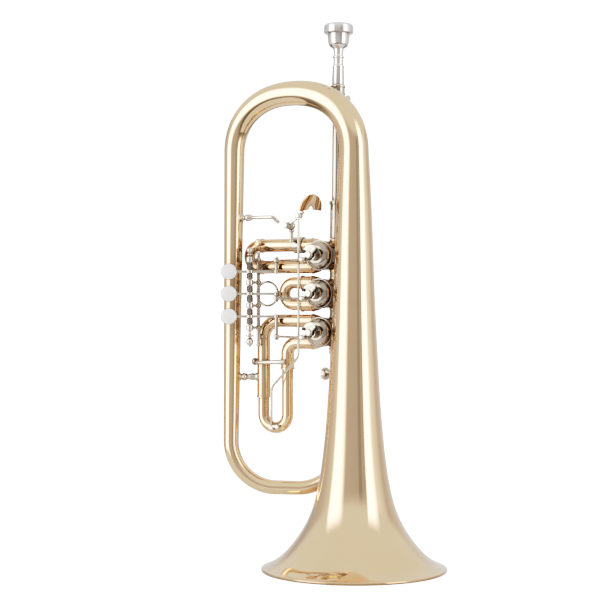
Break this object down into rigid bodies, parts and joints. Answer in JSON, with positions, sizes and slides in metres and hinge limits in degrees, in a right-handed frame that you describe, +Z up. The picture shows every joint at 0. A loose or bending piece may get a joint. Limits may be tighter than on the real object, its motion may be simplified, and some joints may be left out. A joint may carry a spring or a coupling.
{
  "type": "flugelhorn",
  "caption": "Rotary-valve flugelhorn with conical bell, looped tubing, levers linked to rotors, pull-out slides, a thumb trigger and a mouthpiece.",
  "frame": {"origin": "centre of the bell mouth, in the plane of the rim on which the instrument stands", "axes": "+Z up the bell's axis to the top bow, -X from the bell towards the left leg of the loop, -Y out of the valve fronts"},
  "size_m": [0.2091, 0.16, 0.4751],
  "materials": {
    "lacquered_brass": "polished clear lacquer",
    "nickel_silver": "polished nickel silver",
    "silver_plate": "bright silver plate",
    "rotor_metal": "fine turned",
    "pearl": "mother-of-pearl gloss",
    "spring_steel": "drawn wire",
    "bumper_rubber": "matt"
  },
  "bodies": {
    "frame": {"beaded_brace": "nickel_silver", "bell_braces": "nickel_silver", "bell_flare": "lacquered_brass", "bell_rim_wire": "lacquered_brass", "bell_tail": "lacquered_brass", "bell_throat": "lacquered_brass", "bottom_bow": "lacquered_brass", "down_tube": "lacquered_brass", "front_caps": "nickel_silver", "hand_hook": "nickel_silver", "hinge_rod": "nickel_silver", "leadpipe_sleeve": "nickel_silver", "left_leg": "lacquered_brass", "lever_springs": "spring_steel", "lyre_holder": "nickel_silver", "main_line_tubes": "nickel_silver", "rack_rail": "nickel_silver", "rear_caps": "nickel_silver", "receiver_brace": "nickel_silver", "slide_1_sleeves": "lacquered_brass", "slide_2_sleeves": "lacquered_brass", "slide_3_branches": "lacquered_brass", "slide_3_cross_brace": "nickel_silver", "slide_3_sleeves": "lacquered_brass", "stop_bumpers": "bumper_rubber", "top_bow": "lacquered_brass", "trigger_bracket": "nickel_silver", "tube_ferrules": "lacquered_brass", "valve_1_casing": "nickel_silver", "valve_1_knuckles": "lacquered_brass", "valve_2_casing": "nickel_silver", "valve_2_knuckles": "lacquered_brass", "valve_3_casing": "nickel_silver", "valve_3_knuckles": "lacquered_brass"},
    "rotor_1": {"valve_1_rotor": "rotor_metal", "valve_1_stop_arm": "nickel_silver"},
    "lever_1_body": {"lever_1": "nickel_silver", "touchpiece_1": "pearl"},
    "link_1_body": {"link_1": "nickel_silver"},
    "rotor_2": {"valve_2_rotor": "rotor_metal", "valve_2_stop_arm": "nickel_silver"},
    "lever_2_body": {"lever_2": "nickel_silver", "touchpiece_2": "pearl"},
    "link_2_body": {"link_2": "nickel_silver"},
    "rotor_3": {"valve_3_rotor": "rotor_metal", "valve_3_stop_arm": "nickel_silver"},
    "lever_3_body": {"lever_3": "nickel_silver", "touchpiece_3": "pearl"},
    "link_3_body": {"link_3": "nickel_silver"},
    "slide_1": {"slide_1_bow": "lacquered_brass"},
    "slide_2": {"slide_2_bow": "lacquered_brass", "slide_2_ring": "nickel_silver"},
    "slide_3": {"slide_3_bow": "lacquered_brass", "trigger_rod": "nickel_silver"},
    "trigger": {"trigger_lever": "nickel_silver", "thumb_saddle": "lacquered_brass"},
    "leadpipe_slide": {"leadpipe": "nickel_silver", "mouthpiece_receiver": "nickel_silver"},
    "mouthpiece_body": {"mouthpiece": "silver_plate"},
    "lyre_screw_body": {"lyre_screw": "nickel_silver"}
  },
  "joints": [
    {"name": "lever_1_press", "type": "hinge", "parent": "frame", "child": "lever_1_body", "pos_m": [-0.0985, -0.008, 0.2575], "axis": [0, 0, 1], "range_deg": [-24.73, 0], "stiffness_Nm_per_rad": 0.05, "springref_deg": 28.65},
    {"name": "rotor_1_turn", "type": "hinge", "parent": "frame", "child": "rotor_1", "pos_m": [-0.0338, 0.0144, 0.2714], "axis": [0, -1, 0], "range_deg": [0, 90.01]},
    {"name": "link_1_swing", "type": "hinge", "parent": "lever_1_body", "child": "link_1_body", "pos_m": [-0.07844, 0.00405, 0.26723], "axis": [0, 0, 1], "range_deg": [0, 37.4]},
    {"name": "lever_2_press", "type": "hinge", "parent": "frame", "child": "lever_2_body", "pos_m": [-0.0985, -0.008, 0.238], "axis": [0, 0, 1], "range_deg": [-24.73, 0], "stiffness_Nm_per_rad": 0.05, "springref_deg": 28.65},
    {"name": "rotor_2_turn", "type": "hinge", "parent": "frame", "child": "rotor_2", "pos_m": [-0.0338, 0.0144, 0.2381], "axis": [0, -1, 0], "range_deg": [0, 90.01]},
    {"name": "link_2_swing", "type": "hinge", "parent": "lever_2_body", "child": "link_2_body", "pos_m": [-0.07844, 0.00405, 0.23393], "axis": [0, 0, 1], "range_deg": [0, 37.4]},
    {"name": "lever_3_press", "type": "hinge", "parent": "frame", "child": "lever_3_body", "pos_m": [-0.0985, -0.008, 0.218], "axis": [0, 0, 1], "range_deg": [-24.73, 0], "stiffness_Nm_per_rad": 0.05, "springref_deg": 28.65},
    {"name": "rotor_3_turn", "type": "hinge", "parent": "frame", "child": "rotor_3", "pos_m": [-0.0338, 0.0144, 0.2045], "axis": [0, -1, 0], "range_deg": [0, 90.01]},
    {"name": "link_3_swing", "type": "hinge", "parent": "lever_3_body", "child": "link_3_body", "pos_m": [-0.07844, 0.00405, 0.20033], "axis": [0, 0, 1], "range_deg": [0, 37.4]},
    {"name": "slide_1_pull", "type": "slide", "parent": "frame", "child": "slide_1", "axis": [-1, 0, 0], "range_m": [0, 0.03]},
    {"name": "slide_2_pull", "type": "slide", "parent": "frame", "child": "slide_2", "axis": [-1, 0, 0], "range_m": [0, 0.007]},
    {"name": "slide_3_throw", "type": "slide", "parent": "frame", "child": "slide_3", "axis": [0, 0, -1], "range_m": [0, 0.011], "stiffness_N_per_m": 120, "springref_m": -0.012},
    {"name": "trigger_swing", "type": "hinge", "parent": "frame", "child": "trigger", "pos_m": [-0.061, -0.009, 0.2975], "axis": [0, 1, 0], "range_deg": [0, 43.2]},
    {"name": "leadpipe_tune", "type": "slide", "parent": "frame", "child": "leadpipe_slide", "axis": [-0.0096, 0.0429, 0.999], "range_m": [0, 0.015]},
    {"name": "mouthpiece_pull", "type": "slide", "parent": "leadpipe_slide", "child": "mouthpiece_body", "axis": [-0.0096, 0.0429, 0.999], "range_m": [0, 0.03]},
    {"name": "lyre_screw_turn", "type": "hinge", "parent": "frame", "child": "lyre_screw_body", "pos_m": [-0.025, 0.0326, 0.167], "axis": [-1, 0, 0], "range_deg": [0, 360]}
  ],
  "couplings": [
    {"joint": "rotor_1_turn", "follows": "lever_1_press", "ratio": -3.6393},
    {"joint": "link_1_swing", "follows": "lever_1_press", "ratio": -1.5091},
    {"joint": "rotor_2_turn", "follows": "lever_2_press", "ratio": -3.6393},
    {"joint": "link_2_swing", "follows": "lever_2_press", "ratio": -1.5091},
    {"joint": "rotor_3_turn", "follows": "lever_3_press", "ratio": -3.6393},
    {"joint": "link_3_swing", "follows": "lever_3_press", "ratio": -1.5091},
    {"joint": "trigger_swing", "follows": "slide_3_throw", "rad_per_m": 68.2}
  ]
}
